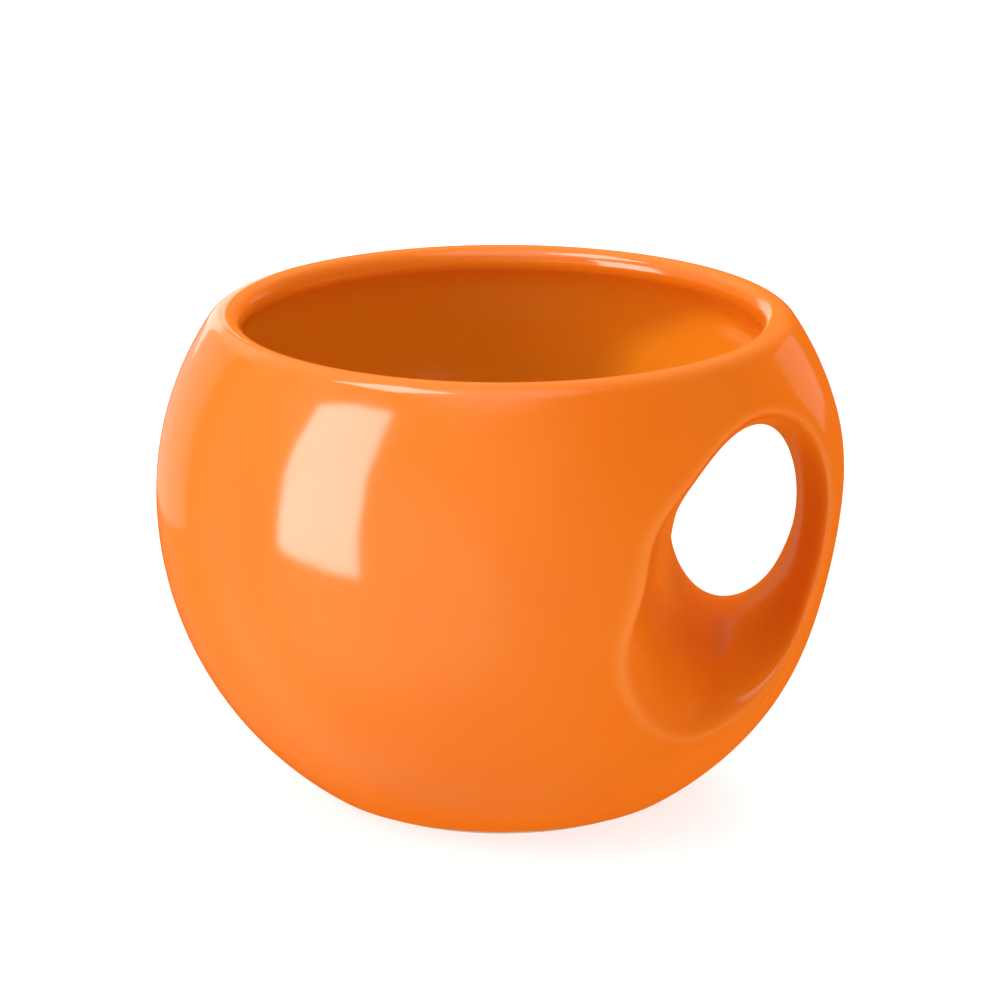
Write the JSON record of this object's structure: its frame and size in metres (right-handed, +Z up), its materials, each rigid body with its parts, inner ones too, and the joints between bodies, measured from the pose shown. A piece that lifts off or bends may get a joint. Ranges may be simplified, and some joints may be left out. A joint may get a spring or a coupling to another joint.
{
  "type": "round ceramic mug with finger tunnel",
  "caption": "Round orange glazed mug with a rounded lip and a tall oval finger tunnel through one side, which leaves a strap handle.",
  "frame": {"origin": "centre of the foot, on the surface the mug stands on", "axes": "+Z up along the mug's axis, +X towards the strap handle, Y along the finger tunnel"},
  "size_m": [0.118, 0.118, 0.0837],
  "materials": {
    "globe_wall": "matte fired clay",
    "finger_tunnel": "matte fired clay",
    "foot_ring": "bare ground clay",
    "outer_glaze": "high gloss",
    "tunnel_glaze": "high gloss",
    "liner_glaze": "high gloss",
    "foot_well_glaze": "high gloss"
  },
  "bodies": {
    "root": {"globe_wall": "globe_wall", "finger_tunnel": "finger_tunnel", "foot_ring": "foot_ring", "outer_glaze": "outer_glaze", "tunnel_glaze": "tunnel_glaze", "liner_glaze": "liner_glaze", "foot_well_glaze": "foot_well_glaze"}
  },
  "joints": []
}
